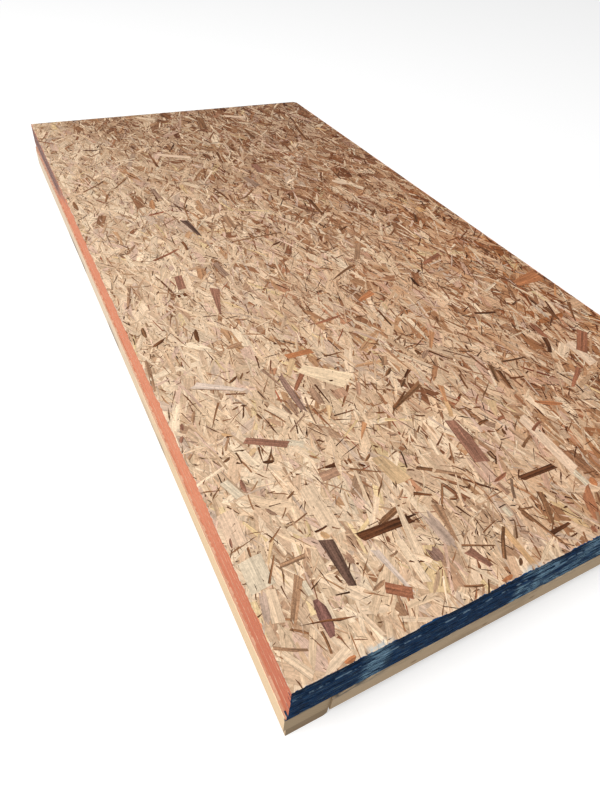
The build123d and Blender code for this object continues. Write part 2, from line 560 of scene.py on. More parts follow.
# %% Strand colours
# Each palette's rows are red, green and blue as seen on a screen, and the colour's weight
PALETTES = {
    "bed": [
        (216, 184, 150, 30), (204, 170, 138, 30), (190, 152, 120, 18), (206, 170, 144, 14),
        (164, 126, 96, 8),
    ],
    "face": [
        (234, 204, 172, 28), (226, 194, 160, 30), (214, 180, 148, 16), (220, 184, 160, 9),
        (208, 180, 156, 6), (228, 198, 152, 3), (239, 212, 180, 14), (186, 148, 118, 3),
    ],
    "slender": [
        (237, 208, 176, 20), (228, 196, 162, 24), (212, 176, 142, 20), (190, 152, 120, 9),
        (168, 128, 98, 3), (220, 184, 160, 7), (206, 178, 154, 5), (226, 194, 146, 2),
    ],
    "tan": [
        (192, 148, 110, 30), (178, 132, 96, 30), (160, 114, 82, 20), (192, 138, 104, 6), (140, 94, 66, 8),
    ],
    "brown": [
        (156, 108, 76, 30), (132, 86, 58, 26), (104, 66, 44, 18), (174, 126, 90, 18), (150, 88, 62, 4),
    ],
    "dark": [(104, 62, 38, 40), (86, 50, 32, 35), (70, 44, 30, 25)],
    "stroke": [
        (154, 108, 74, 24), (132, 88, 58, 26), (108, 70, 44, 22), (86, 54, 34, 14), (176, 132, 94, 10),
        (154, 90, 62, 6),
    ],
    "speck": [
        (116, 80, 54, 32), (92, 62, 42, 24), (144, 104, 74, 24), (70, 46, 32, 8), (242, 220, 192, 14),
    ],
}
BROWNER = {"bed": "tan", "face": "tan", "slender": "brown", "stroke": "dark", "speck": "dark"}
TONE_SPREAD = 0.06
BROWN_GROWTH = np.array((0.85, 0.25))
BROWN_START = -0.12
RIGHT_TONE = (0.62, 0.36, 0.20, 1.0)
FAR_TONE = (0.42, 0.28, 0.175, 1.0)


def pick_colours(palette, count):
    """Random colours from a palette, each a little lighter or darker."""
    colours = np.array([screen(*row[:3]) for row in PALETTES[palette]])
    weights = np.array([row[3] for row in PALETTES[palette]], float)
    picked = colours[RANDOM.choice(len(colours), size=count, p=weights / weights.sum())]
    picked[:, :3] *= RANDOM.normal(1.0, TONE_SPREAD, (count, 1))
    return picked


def placed_colours(palette, where, brown, tint):
    """Colours for strands at their places. Towards the far right more of them are brown ones."""
    count = len(where)
    shares = (where - np.array(top_low.xy)) / np.array((top_high - top_low).xy)
    chance = brown * np.clip(BROWN_GROWTH @ shares.T + BROWN_START, 0.0, 1.0)
    browned = (RANDOM.random(count) < chance)[:, None]
    colours = np.where(browned, pick_colours(BROWNER[palette], count), pick_colours(palette, count))
    colours[:, 3] = np.clip(RANDOM.uniform(*tint, count), 0.0, 1.0)
    return colours


print("palettes:", {name: len(rows) for name, rows in PALETTES.items()})

# %% [markdown]
# One material does for every strand. The grain is two bands of noise in the strand's own map, broad
# streaks and fine fibres. Short dark flecks lie along the grain, a thin shadow follows parts of the
# rim, and a fuzz in the board's coordinates stands for the dust and fibre ends that lie every way.
# Towards the far right the board is browner, as the photograph shows it.

# %% Strand finish
def strand_wood():
    """Wood whose grain follows each strand, in the colour that the strand carries."""
    wood = Recipe("strand wood", WHITE, roughness=0.75, gloss=0.12)
    own = wood.add("Attribute", output="Color", attribute_name="strand_colour")
    tinted = wood.add("Attribute", output="Alpha", attribute_name="strand_colour")
    half_width = wood.add("Attribute", output="Fac", attribute_name="half_width")
    seed = wood.add("Attribute", output="Fac", attribute_name="strand_seed")
    along, across, _ = wood.split(wood.add("UVMap", uv_map="strand"))

    def grain(long_scale, cross_scale, detail):
        at = {0: along * long_scale, 1: across * cross_scale, 2: seed}
        return wood.noise(detail=detail, roughness=0.6, vector=wood.add("CombineXYZ", at))

    streaks = grain(9, 130, 2.0).between(0.3, 0.7, 0.84, 1.12)
    fibres = grain(26, 520, 3.0).between(0.28, 0.72, 0.84, 1.12)
    flecks = grain(90, 620, 2.0).between(0.30, 0.40, 0.66, 1.0)
    hairs = grain(14, 900, 1.0).between(0.27, 0.34, 0.70, 1.0)
    shadow = (half_width - abs(across)).between(0.2 * MM, 1.4 * MM, 0.66, 1.0)
    rim = shadow.math("MAXIMUM", grain(55, 90, 1.0).between(0.44, 0.56))
    fuzz = wood.noise(170, detail=4.0, roughness=0.65).between(0.3, 0.7, 0.86, 1.12)

    red = wood.split(own)[0]
    banding = (1.0 - tinted) * red.between(0.35, 0.65, 1.0, 0.15)
    bands = grain(7, 210, 2.0).between(0.32, 0.68, -0.22, 0.28)
    banded = bands * (banding * red.between(0.10, 0.32, 2.2, 1.0)) + 1.0
    pits = wood.noise(330, roughness=0.7).between(0.34, 0.6, -0.26, 0.10)
    pitted = pits * banding + 1.0
    plain = wood.shade(own, streaks * fibres * pitted * (flecks * fuzz) * rim * (banded * hairs))
    wood.colour = wood.mix(tinted, plain, wood.shade(plain, board_tone(wood)))
    return wood


def board_tone(wood):
    """How much browner the board is at a place: nothing near the left front, most at the far right."""
    clouds = wood.noise(2.4) - 0.5
    across = wood.x / (top_high.x - top_low.x) + clouds * 0.5
    along = wood.y / (top_high.y - top_low.y) + clouds * 0.35
    rightwards = wood.add("MapRange", {"Value": across, "From Min": -0.4, "From Max": 0.5})
    farwards = wood.add("MapRange", {"Value": along, "From Min": -0.05, "From Max": 0.5})
    inwards = across.between(-0.5, -0.1, 0.15, 1.0)
    right_tone = wood.mix(rightwards, WHITE, RIGHT_TONE)
    far_tone = wood.mix(farwards * inwards, WHITE, FAR_TONE)
    return wood.shade(right_tone, far_tone)


def sprayed_strand_wood():
    """Strand wood with the paint that the spray left on the face beside each edge, ragged and frosted."""
    wood = strand_wood()
    middle, half = (top_high + top_low) / 2, (top_high - top_low) / 2
    from_side = half.x - abs(wood.x - middle.x)
    from_end = half.y - abs(wood.y - middle.y)

    ragged = wood.noise(130, detail=4.0)
    reach = ragged * (6.4 * MM) + wood.noise(22, detail=1.0) * (9 * MM) - 7.0 * MM
    frosted = wood.noise(120, detail=2.0).between(0.45, 0.62, 0.0, 0.6)
    worn = worn_share(wood) * ragged.between(0.35, 0.6)
    wood.coat(MIST_BLUE, worn * from_end.between(14 * MM, 2 * MM, 0.0, 0.9))
    for distance, paint in ((from_side, CORAL), (from_end, NAVY)):
        beyond = distance - reach
        wood.coat(FROST, frosted * beyond.between(2.6 * MM, 0.4 * MM))
        wood.coat(paint, beyond.between(0.4 * MM, -0.4 * MM))
    return wood.finish()


strand_finish = sprayed_strand_wood()
print("strand finish has", len(strand_finish.node_tree.nodes), "nodes")

# %% [markdown]
# Thousands of strands are one joined mesh for each kind, made from arrays: every strand takes one
# of the shapes, is stretched to its size, tilted a hair so that one end dips under its neighbours,
# turned and put in its place. An even spread of places, as a quasi-random sequence gives, covers
# the face with no bare spots. At the end the sheet's sawn edges cut off what sticks out. The same
# functions lay strands on the underside, with their heights counted downwards.

# %% Turn rows of numbers into strands
STRAND_DEPTH = 0.8 * MM
SPREAD_STEPS = np.array((0.7548776662, 0.5698402910))
SPREAD_JITTER = 0.006
BEYOND_EDGE = 25 * MM
MAIN_DIRECTION = math.pi / 2
DIRECTION_SPREAD = math.radians(25)
UNMARKED_TOP = 0.89
MOST_ROOM = 0.28
TILT_SHARE = 0.7
ROLL_SHARE = 0.3
MAX_SEED = 90


def strand_arrays(shape, rows, facing):
    """Points, triangles and attributes of all the strands that use one shape."""
    points, triangles = shape
    count, size = len(rows["x"]), len(points)
    local = np.repeat(points[None], count, 0)
    local[..., 0] *= rows["length"][:, None] / 2
    local[..., 1] *= rows["width"][:, None] / 2
    tilt = points[:, 0][None] * rows["tilt"][:, None] + points[:, 1][None] * rows["roll"][:, None]
    height = np.minimum(rows["height"][:, None] + tilt, TOP_SKIN) + local[..., 2] * STRAND_DEPTH
    cos, sin = np.cos(rows["angle"])[:, None], np.sin(rows["angle"])[:, None]
    place = np.empty_like(local)
    place[..., 0] = rows["x"][:, None] + local[..., 0] * cos - local[..., 1] * sin
    place[..., 1] = rows["y"][:, None] + local[..., 0] * sin + local[..., 1] * cos
    place[..., 2] = rows["plane"] + facing * height
    faces = triangles[:, ::facing][None] + (np.arange(count) * size)[:, None, None]
    return {
        "points": place.reshape(-1, 3),
        "faces": faces.reshape(-1, 3),
        "map": local[..., :2].reshape(-1, 2),
        "colour": np.repeat(rows["colour"], size, 0),
        "half_width": np.repeat(rows["width"] / 2, size),
        "seed": np.repeat(rows["seed"], size),
    }


def join(parts):
    """Joins the arrays of several shapes into one set."""
    starts = np.cumsum([0] + [len(part["points"]) for part in parts[:-1]])
    joined = {key: np.concatenate([part[key] for part in parts]) for key in parts[0]}
    joined["faces"] = np.concatenate([part["faces"] + start for part, start in zip(parts, starts)])
    return joined


def strand_mesh(name, arrays):
    """A mesh from joined arrays, with the strands' map, colour, width and seed."""
    mesh = bpy.data.meshes.new(name)
    mesh.vertices.add(len(arrays["points"]))
    mesh.vertices.foreach_set("co", arrays["points"].astype(np.float32).ravel())
    faces = arrays["faces"].astype(np.int32)
    mesh.loops.add(faces.size)
    mesh.loops.foreach_set("vertex_index", faces.ravel())
    mesh.polygons.add(len(faces))
    mesh.polygons.foreach_set("loop_start", np.arange(0, faces.size, 3, dtype=np.int32))
    mesh.update(calc_edges=True)
    layer = mesh.uv_layers.new(name="strand")
    layer.data.foreach_set("uv", arrays["map"][faces.ravel()].astype(np.float32).ravel())
    tint = mesh.color_attributes.new("strand_colour", "FLOAT_COLOR", "POINT")
    tint.data.foreach_set("color", arrays["colour"].astype(np.float32).ravel())
    for key, values in (("half_width", arrays["half_width"]), ("strand_seed", arrays["seed"])):
        attribute = mesh.attributes.new(key, "FLOAT", "POINT")
        attribute.data.foreach_set("value", values.astype(np.float32))
    return mesh


def trim(mesh, low, high, broken):
    """Cuts strands off at the sheet's four sides and at its broken corner."""
    bm = bmesh.new()
    bm.from_mesh(mesh)
    for axis, paint in ((Vector((1, 0, 0)), ORANGE), (Vector((0, 1, 0)), BLUE)):
        cut_away(bm, low, -axis, paint)
        cut_away(bm, high, axis, paint)
    if broken:
        break_corner(bm, high)
    bm.to_mesh(mesh)
    bm.free()
    mesh.shade_flat()


def strand_piece(name, parts, sheet):
    """A finished piece of strands, trimmed to its sheet."""
    mesh = strand_mesh(name, join(parts))
    low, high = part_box(sheet)
    trim(mesh, low, high, sheet == TOP_SHEET)
    for material in (strand_finish, board_finishes[BLUE], board_finishes[ORANGE]):
        mesh.materials.append(material)
    piece = put(name, mesh)
    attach(piece, "root")
    print(name, len(mesh.polygons), "faces")


# %% Lay the random strands on the face
def spread(count, start, sheet):
    """Evenly spread places on a sheet and a little beyond it."""
    shares = (start + np.outer(np.arange(count), SPREAD_STEPS)) % 1.0
    shares += RANDOM.uniform(-SPREAD_JITTER, SPREAD_JITTER, (count, 2))
    low, high = (np.array(corner[:2]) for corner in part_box(sheet))
    return low - BEYOND_EDGE + shares * (high - low + 2 * BEYOND_EDGE)


def strand_angles(count, aligned):
    """Directions from X: a share of the strands lies roughly along the sheet, the rest anyhow."""
    along = RANDOM.normal(MAIN_DIRECTION, DIRECTION_SPREAD, count)
    anyhow = RANDOM.uniform(0, math.pi, count)
    turned = np.where(RANDOM.random(count) < 0.5, math.pi, 0.0)
    return np.where(RANDOM.random(count) < aligned, along, anyhow) + turned


def random_rows(
    count, palette, lengths, widths, heights,
    aligned=0.6, start=0.5, brown=0.0, tint=(0.35, 1.0), sheet=TOP_SHEET,
):
    """Random sizes, directions and colours for a number of strands. Sizes are in millimetres."""
    where = spread(count, start, sheet)
    low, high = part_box(sheet)
    height = RANDOM.uniform(*heights, count)
    room = np.clip(UNMARKED_TOP - height, 0.0, MOST_ROOM)
    return {
        "x": where[:, 0],
        "y": where[:, 1],
        "plane": high.z - TOP_SKIN if sheet == TOP_SHEET else low.z + TOP_SKIN,
        "angle": strand_angles(count, aligned),
        "length": RANDOM.triangular(*lengths, count) * MM,
        "width": RANDOM.triangular(*widths, count) * MM,
        "height": height * MM,
        "tilt": RANDOM.uniform(-TILT_SHARE, TILT_SHARE, count) * room * MM,
        "roll": RANDOM.uniform(-ROLL_SHARE, ROLL_SHARE, count) * room * MM,
        "colour": placed_colours(palette, where, brown, tint),
        "seed": RANDOM.uniform(0, MAX_SEED, count),
    }


# Where crumbs have gathered on the face, across and along from the near left corner
CRUMB_SPOTS = np.array([
    (45, 240), (440, 110), (590, 80), (340, 95), (780, 440), (850, 300), (960, 560), (1000, 330), (70, 840),
    (160, 1020), (330, 1130), (480, 880), (610, 880), (640, 600), (850, 850), (870, 1200), (1040, 850),
    (1150, 930), (30, 1640), (150, 1260), (330, 1540), (520, 1480), (560, 1230), (730, 1340), (860, 1620),
    (1060, 1450), (1110, 1280), (1130, 1650), (200, 1950), (390, 2300), (560, 2400), (860, 2100),
    (1040, 2000), (520, 1990), (1130, 2150),
]) * MM


def gather(rows, share, reach):
    """Moves a share of the strands close to the crumb spots."""
    moved = np.flatnonzero(RANDOM.random(len(rows["x"])) < share)
    spots = CRUMB_SPOTS[RANDOM.integers(0, len(CRUMB_SPOTS), len(moved))]
    near = spots + RANDOM.normal(0, reach, spots.shape) + np.array(top_low.xy)
    rows["x"][moved], rows["y"][moved] = near[:, 0], near[:, 1]
    return rows


THIN_START, THIN_ALONG, THIN_ACROSS = 1.25, 2.2, 0.7


def chosen(rows, which):
    """The rows that a choice keeps."""
    return {key: value[which] if isinstance(value, np.ndarray) else value for key, value in rows.items()}


def thin_out(rows, share):
    """Drops a share of the strands near the left front corner, where broad strands show more."""
    across = (rows["x"] - top_low.x) / (top_high.x - top_low.x)
    along = (rows["y"] - top_low.y) / (top_high.y - top_low.y)
    nearness = np.clip(THIN_START - along * THIN_ALONG - across * THIN_ACROSS, 0.0, 1.0)
    return chosen(rows, RANDOM.random(len(across)) > share * nearness)


def strewn(kinds, rows, facing=1):
    """Shares the rows out among the shapes of the given kinds."""
    shapes = [shape for kind in kinds for shape in SHAPES[kind]]
    pick = RANDOM.integers(0, len(shapes), len(rows["x"]))
    return [strand_arrays(shape, chosen(rows, pick == index), facing) for index, shape in enumerate(shapes)]


def layer(kinds, *rows, thinned=0.0, facing=1, **choices):
    """Random strands of the given kinds, with a share of them dropped near the left front corner."""
    rows = random_rows(*rows, **choices)
    return strewn(kinds, thin_out(rows, thinned) if thinned else rows, facing)


strand_piece("strands_bed", (
    layer(["sawn", "wedge"], 1500, "bed", (60, 95, 150), (16, 28, 44), (0.10, 0.35),
          aligned=0.8, brown=0.7, tint=(0.8, 1.0))
    + layer(["torn", "stick"], 1400, "bed", (35, 70, 120), (6, 12, 22), (0.20, 0.45),
            brown=0.7, tint=(0.8, 1.0))
), TOP_SHEET)
strand_piece("strands_broad", (
    layer(["sawn", "wedge", "torn"], 1900, "face", (60, 100, 150), (12, 22, 38), (0.40, 0.72),
          aligned=0.88, start=0.2, brown=0.45, tint=(0.15, 1.0))
    + layer(["leaf", "wedge"], 900, "face", (45, 75, 110), (9, 14, 22), (0.45, 0.76),
            aligned=0.75, start=0.9, brown=0.6, tint=(0.0, 1.0))
), TOP_SHEET)
strand_piece("strands_slender", layer(
    ["stick", "leaf"], 4300, "slender", (36, 70, 120), (3, 6, 12), (0.42, 0.84),
    aligned=0.76, start=0.1, brown=0.45, tint=(-0.8, 1.0), thinned=0.45,
), TOP_SHEET)
strand_piece("strands_thin", layer(
    ["splinter"], 5200, "slender", (14, 36, 80), (1.4, 3, 6), (0.45, 0.88),
    aligned=0.72, start=0.3, brown=0.8, tint=(-0.8, 1.0), thinned=0.4,
), TOP_SHEET)
# The dark strokes are partly brown splinters, partly painted shadow in the gaps between strands
strand_piece("strands_strokes", layer(
    ["stick", "splinter"], 3200, "stroke", (12, 26, 60), (1.0, 2.1, 5.0), (0.60, 0.90),
    aligned=0.5, start=0.7, brown=0.9, tint=(0.3, 1.0), thinned=0.35,
), TOP_SHEET)
specks = random_rows(
    7500, "speck", (2.5, 5, 14), (0.8, 1.5, 3.4), (0.70, 0.96), aligned=0.4, start=0.8, brown=0.7
)
strand_piece("strands_specks", strewn(["speck"], gather(specks, share=0.22, reach=30 * MM)), TOP_SHEET)

# %% [markdown]
# Random strands give the right board, but not this board. The strands that catch the eye in the
# photograph were read off a flattened view of the sheet, by the middles of their two ends, and are
# laid last, on top. Each keeps its own tone, so its colour has an alpha of zero, which tells the
# material to leave out the browning towards the far right.

# %% Lay the landmark strands
TONES = {
    "slate": (96, 71, 59), "char": (91, 54, 32), "wine": (122, 84, 74), "umber": (113, 72, 45),
    "brown": (130, 90, 61), "rust": (154, 99, 72), "mauve": (153, 107, 86), "plum": (145, 112, 96),
    "taupe": (159, 124, 99), "dun": (168, 128, 97), "grey": (160, 127, 105), "dove": (192, 164, 144),
    "copper": (194, 138, 96), "orange": (184, 119, 78), "amber": (210, 166, 121), "straw": (214, 178, 136),
    "rose": (182, 140, 112), "blush": (229, 196, 166), "lilac": (224, 200, 181), "cream": (226, 196, 164),
    "peach": (229, 200, 168), "butter": (244, 214, 177), "sage": (222, 202, 174),
}
LANDMARK_HEIGHTS = (0.90, 0.98)

# For each kind and tone, from the wide end to the narrow one, across and along from the near left
# corner, and the width, all in millimetres. Later strands lie on top of earlier ones.
LANDMARKS = {
    "plank sage": [
        (30, 226, 30, 164, 44), (95, 150, 96, 122, 10), (50, 396, 66, 350, 18), (206, 440, 234, 420, 16),
        (513, 126, 514, 104, 12), (711, 144, 712, 98, 14),
    ],
    "plank cream": [
        (190, 323, 190, 213, 35), (408, 1704, 446, 1650, 20), (428, 2412, 498, 2360, 21),
        (38, 160, 28, 102, 22), (12, 58, 40, 8, 14),
    ],
    "plank peach": [(288, 150, 286, 60, 16), (375, 52, 398, 8, 9), (212, 548, 240, 505, 22)],
    "blade butter": [(420, 556, 336, 636, 60)],
    "wedge peach": [(212, 424, 240, 366, 18), (118, 254, 138, 220, 14)],
    "wedge lilac": [(88, 676, 188, 618, 22), (237, 150, 253, 56, 14)],
    "plank blush": [
        (26, 330, 24, 256, 34), (1036, 462, 1030, 372, 30), (394, 1980, 506, 1918, 24),
        (808, 2332, 892, 2294, 22), (720, 300, 716, 136, 26),
    ],
    "leaf blush": [(934, 1558, 982, 1512, 26)],
    "wedge straw": [
        (338, 500, 316, 458, 14), (334, 674, 300, 626, 16), (692, 372, 668, 324, 24),
        (372, 255, 356, 330, 40), (82, 245, 55, 202, 8),
    ],
    "leaf straw": [(140, 452, 122, 436, 12)],
    "plank rose": [(226, 330, 266, 332, 22), (542, 176, 545, 146, 12), (380, 540, 382, 512, 34)],
    "frayed rose": [(440, 546, 416, 500, 12), (186, 170, 190, 138, 13)],
    "plank amber": [(480, 90, 480, 2, 12)],
    "leaf amber": [(166, 221, 176, 205, 12), (90, 514, 108, 500, 9)],
    "stick amber": [(594, 412, 574, 362, 12)],
    "wedge amber": [(1148, 2082, 1172, 2038, 24)],
    "wedge copper": [(722, 638, 676, 582, 16), (614, 458, 592, 408, 14), (384, 425, 352, 385, 12)],
    "leaf copper": [(262, 1606, 248, 1540, 19)],
    "blade orange": [(1208, 752, 1104, 738, 56), (672, 854, 616, 830, 24)],
    "leaf orange": [
        (785, 326, 842, 294, 13), (92, 4, 112, 6, 9), (730, 110, 726, 88, 16), (406, 6, 430, 8, 8),
    ],
    "plank orange": [(324, 688, 392, 686, 18)],
    "plank rust": [(215, 82, 252, 54, 20), (1112, 486, 1040, 420, 28)],
    "wedge rust": [(990, 962, 908, 932, 20), (331, 618, 292, 575, 13)],
    "leaf rust": [
        (1000, 570, 996, 500, 16), (664, 314, 686, 319, 10), (448, 778, 534, 789, 10),
        (640, 24, 638, 8, 11), (538, 180, 578, 190, 9),
    ],
    "stick rust": [
        (982, 376, 910, 328, 14), (714, 259, 752, 273, 8), (158, 1222, 242, 1262, 10),
        (652, 376, 678, 399, 4),
    ],
    "speck rust": [(102, 44, 107, 36, 5), (518, 60, 519, 51, 5)],
    "frayed dove": [(366, 190, 372, 80, 26), (26, 163, 12, 106, 14)],
    "torn plum": [(281, 650, 279, 498, 15)],
    "frayed plum": [(330, 116, 334, 78, 24)],
    "torn taupe": [(328, 576, 326, 506, 16), (262, 554, 262, 502, 14)],
    "plank taupe": [(632, 318, 646, 302, 16)],
    "stick taupe": [
        (251, 668, 268, 600, 9), (300, 545, 285, 462, 4), (224, 464, 278, 498, 4), (548, 134, 576, 174, 7),
        (522, 210, 524, 120, 4), (507, 267, 524, 253, 5),
    ],
    # (244, 545, ...) is a grey painted shadow beside a strand, laid as a strand
    "leaf taupe": [
        (244, 545, 250, 508, 9), (571, 600, 585, 616, 7), (412, 378, 431, 366, 9), (504, 71, 520, 62, 9),
        (664, 580, 634, 556, 13), (96, 308, 111, 286, 8),
    ],
    "splinter taupe": [(84, 664, 152, 630, 3), (458, 399, 484, 335, 3), (229, 294, 262, 303, 3)],
    "wedge mauve": [(268, 1027, 240, 906, 26), (390, 80, 408, 38, 20)],
    "plank mauve": [
        (566, 354, 551, 232, 32), (128, 478, 206, 433, 18), (196, 1122, 187, 1054, 22),
        (715, 1786, 713, 1704, 26),
    ],
    "leaf mauve": [
        (25, 574, 22, 554, 9), (16, 540, 8, 522, 9), (81, 388, 79, 358, 9), (15, 276, 11, 256, 5),
    ],
    "plank grey": [(318, 1152, 324, 1074, 17), (634, 1684, 652, 1598, 24), (290, 1692, 291, 1608, 14)],
    "wedge dun": [(93, 162, 48, 92, 16), (446, 253, 492, 222, 10), (396, 184, 384, 100, 20)],
    "plank dun": [
        (724, 1024, 782, 1112, 17), (452, 1412, 448, 1338, 26), (548, 600, 530, 570, 14),
        (72, 191, 120, 191, 9),
    ],
    "leaf dun": [
        (203, 768, 247, 779, 17), (193, 85, 222, 94, 9), (338, 224, 360, 242, 5), (62, 600, 48, 566, 8),
    ],
    # (100, 498, ...) is a painted shadow line beside a strand, laid as a strand
    "stick dun": [(100, 498, 82, 468, 6), (255, 127, 273, 131, 5), (3, 70, 50, 45, 6)],
    "frayed brown": [(540, 104, 546, 74, 12)],
    "plank brown": [(692, 2334, 664, 2208, 28), (415, 275, 442, 257, 9)],
    "wedge brown": [(572, 482, 464, 434, 17), (776, 470, 752, 414, 12)],
    "leaf brown": [
        (273, 191, 332, 212, 14), (40, 924, 38, 882, 11), (20, 1672, 22, 1608, 13), (67, 440, 84, 448, 7),
        (137, 569, 154, 575, 5), (180, 540, 186, 520, 7), (192, 656, 206, 674, 5), (144, 311, 164, 322, 5),
        (231, 390, 243, 376, 6), (328, 330, 348, 344, 6), (511, 535, 538, 556, 10), (536, 632, 552, 644, 9),
        (514, 620, 528, 630, 7), (560, 653, 572, 664, 5), (613, 640, 634, 654, 7), (673, 543, 675, 528, 7),
        (480, 498, 478, 484, 8), (491, 504, 508, 511, 6), (456, 16, 467, 28, 7), (662, 96, 660, 78, 8),
        (548, 510, 524, 490, 10),
    ],
    # (118, 602, ...) and (490, 62, ...) are painted shadows beside strands, laid as dark strands
    "stick brown": [
        (540, 112, 566, 4, 10), (608, 124, 574, 56, 13), (690, 998, 598, 950, 13), (658, 230, 700, 249, 7),
        (385, 93, 442, 67, 5), (339, 27, 371, 15, 5), (290, 326, 352, 289, 6), (382, 1590, 348, 1524, 8),
        (350, 1530, 334, 1428, 8), (622, 1578, 574, 1530, 9), (580, 1530, 536, 1518, 8),
        (148, 1798, 64, 1732, 9), (227, 1802, 168, 1728, 8), (136, 1692, 118, 1638, 10),
        (412, 1252, 584, 1256, 7), (42, 169, 72, 215, 5), (76, 240, 108, 262, 5), (118, 602, 80, 538, 6),
        (100, 455, 100, 423, 4), (84, 62, 81, 24, 5), (222, 111, 238, 120, 5), (408, 180, 438, 220, 5),
        (438, 40, 484, 94, 8), (490, 62, 514, 96, 5), (536, 110, 568, 102, 5), (202, 545, 229, 491, 4),
        (504, 602, 508, 634, 5), (618, 614, 640, 640, 5), (637, 612, 634, 600, 5), (598, 377, 622, 372, 5),
        (619, 372, 615, 342, 5), (451, 529, 474, 521, 4), (474, 354, 490, 370, 5), (160, 408, 163, 424, 6),
        (578, 250, 580, 226, 6),
    ],
    "splinter brown": [
        (183, 87, 207, 69, 3), (8, 248, 52, 258, 3), (216, 340, 225, 300, 3), (309, 251, 340, 282, 4),
        (193, 118, 218, 142, 3), (72, 178, 63, 156, 4), (58, 556, 68, 574, 3), (116, 389, 131, 369, 3),
        (175, 493, 184, 511, 3), (391, 410, 396, 374, 3), (283, 462, 290, 432, 4), (6, 389, 36, 380, 4),
        (18, 369, 38, 386, 4), (152, 446, 146, 428, 4), (567, 174, 593, 175, 2), (682, 386, 732, 422, 4),
        (505, 233, 511, 211, 4), (495, 104, 500, 127, 3), (369, 54, 382, 36, 3), (129, 158, 133, 122, 2),
    ],
    "leaf wine": [(96, 46, 100, 112, 21)],
    "wedge umber": [(362, 1866, 366, 2002, 11), (781, 449, 766, 382, 12)],
    "plank umber": [(291, 350, 291, 338, 4), (300, 351, 300, 338, 5)],
    "leaf umber": [
        (42, 838, 78, 862, 11), (158, 872, 150, 818, 12), (1146, 962, 1156, 908, 13),
        (550, 2440, 560, 2366, 38), (138, 410, 160, 404, 9), (163, 651, 188, 668, 8),
        (365, 362, 374, 352, 4), (654, 290, 650, 272, 7), (634, 592, 638, 570, 10), (637, 367, 656, 362, 6),
        (630, 408, 641, 416, 6), (429, 184, 444, 179, 5),
    ],
    "stick umber": [
        (665, 574, 700, 523, 9), (680, 472, 667, 423, 6), (815, 468, 882, 460, 6),
        (1182, 604, 1128, 526, 12), (1096, 612, 1090, 548, 14), (614, 322, 644, 324, 9),
        (333, 468, 384, 467, 4), (372, 224, 404, 206, 8), (1048, 1168, 1072, 1212, 15),
        (768, 1204, 804, 1222, 12), (410, 655, 454, 653, 5), (776, 1442, 768, 1322, 16),
        (270, 1302, 268, 1248, 10), (928, 1262, 962, 1298, 11), (724, 1462, 748, 1512, 10),
        (986, 1662, 974, 1558, 10), (622, 1942, 604, 1828, 11), (830, 2152, 830, 2048, 10),
        (926, 1954, 914, 1868, 11), (1066, 2132, 1034, 1958, 13), (146, 450, 139, 412, 5),
        (142, 621, 186, 606, 5), (230, 350, 262, 352, 4), (191, 222, 202, 213, 4), (395, 278, 408, 271, 4),
        (470, 438, 524, 473, 6), (574, 216, 588, 234, 4), (727, 122, 756, 117, 5), (500, 399, 519, 389, 5),
    ],
    "splinter umber": [
        (132, 63, 68, 83, 5), (290, 264, 284, 236, 3), (84, 140, 89, 122, 3), (59, 655, 71, 596, 4),
        (73, 460, 80, 476, 3), (13, 408, 22, 417, 3), (153, 680, 164, 651, 3), (599, 477, 622, 498, 3),
        (411, 53, 418, 36, 4), (258, 164, 264, 127, 2),
    ],
    "speck umber": [
        (570, 768, 592, 762, 13), (84, 322, 91, 313, 5), (178, 367, 178, 358, 4), (134, 242, 137, 233, 4),
        (480, 190, 489, 195, 5), (629, 447, 639, 442, 6), (605, 518, 612, 509, 8), (620, 296, 633, 288, 8),
        (424, 440, 441, 434, 8), (267, 420, 276, 410, 8), (213, 669, 222, 672, 6), (98, 502, 109, 498, 6),
        (160, 575, 169, 571, 5), (91, 430, 98, 424, 7),
    ],
    "splinter peach": [(575, 346, 577, 300, 4)],
    "wedge slate": [(318, 1432, 331, 1322, 24)],
    "blade slate": [(168, 203, 167, 108, 27)],
    "wedge char": [(268, 347, 246, 349, 12)],
    "plank char": [
        (226, 183, 334, 180, 20), (595, 166, 684, 163, 14), (184, 1034, 186, 1018, 10),
        (168, 1032, 169, 1018, 8),
    ],
    "stick char": [
        (558, 43, 607, 46, 10), (577, 534, 550, 513, 10), (992, 502, 958, 448, 14), (788, 412, 826, 404, 7),
        (158, 225, 184, 228, 5), (302, 174, 358, 172, 4), (310, 186, 348, 182, 5), (492, 307, 527, 332, 5),
        (341, 574, 344, 507, 5), (640, 772, 636, 698, 7), (884, 662, 944, 644, 10),
        (684, 1503, 708, 1552, 7), (772, 1832, 812, 1808, 9),
    ],
    "leaf char": [
        (518, 1188, 552, 1202, 9), (822, 882, 818, 828, 10), (378, 571, 388, 571, 6),
        (193, 140, 198, 140, 5), (622, 76, 632, 76, 4), (312, 330, 322, 320, 6), (768, 560, 764, 541, 6),
    ],
    "speck char": [
        (872, 904, 856, 892, 12), (1072, 924, 1058, 912, 12), (281, 106, 288, 100, 5),
        (298, 98, 304, 94, 5), (389, 650, 402, 652, 6),
    ],
    "splinter char": [(682, 129, 698, 132, 3)],
    "wedge cream": [(304, 110, 327, 212, 20), (350, 1420, 338, 1376, 14), (174, 600, 186, 556, 12)],
}


